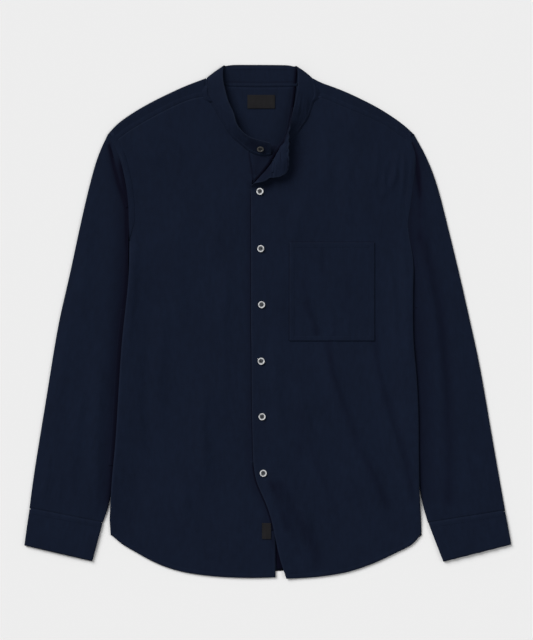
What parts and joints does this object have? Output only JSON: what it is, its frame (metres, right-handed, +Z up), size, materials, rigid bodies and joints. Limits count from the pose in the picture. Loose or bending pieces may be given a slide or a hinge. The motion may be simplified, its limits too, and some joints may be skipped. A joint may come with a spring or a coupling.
{
  "type": "mandarin collar shirt",
  "caption": "Long-sleeved shirt with a band collar, a chest pocket and a curved hem, laid flat with its top button undone and one front corner turned out.",
  "frame": {"origin": "on the surface that the shirt lies on, under the middle of its outline", "axes": "+X towards the wearer's left side, +Y towards the collar, +Z up from the surface"},
  "size_m": [0.7554, 0.7962, 0.0211],
  "materials": {
    "navy_cotton": "matte",
    "label": "satin",
    "shell": "gloss",
    "smoked_shell": "gloss"
  },
  "bodies": {
    "root": {"back": "navy_cotton", "yoke": "navy_cotton", "front_right": "navy_cotton", "front_left": "navy_cotton", "sleeve_right": "navy_cotton", "sleeve_left": "navy_cotton", "cuff_right": "navy_cotton", "cuff_left": "navy_cotton", "collar_band": "navy_cotton", "pocket": "navy_cotton", "label_neck": "label", "label_hem": "label", "button_1": "smoked_shell", "button_2": "shell", "button_3": "shell", "button_4": "shell", "button_5": "shell", "button_6": "shell", "button_7": "shell"}
  },
  "joints": []
}
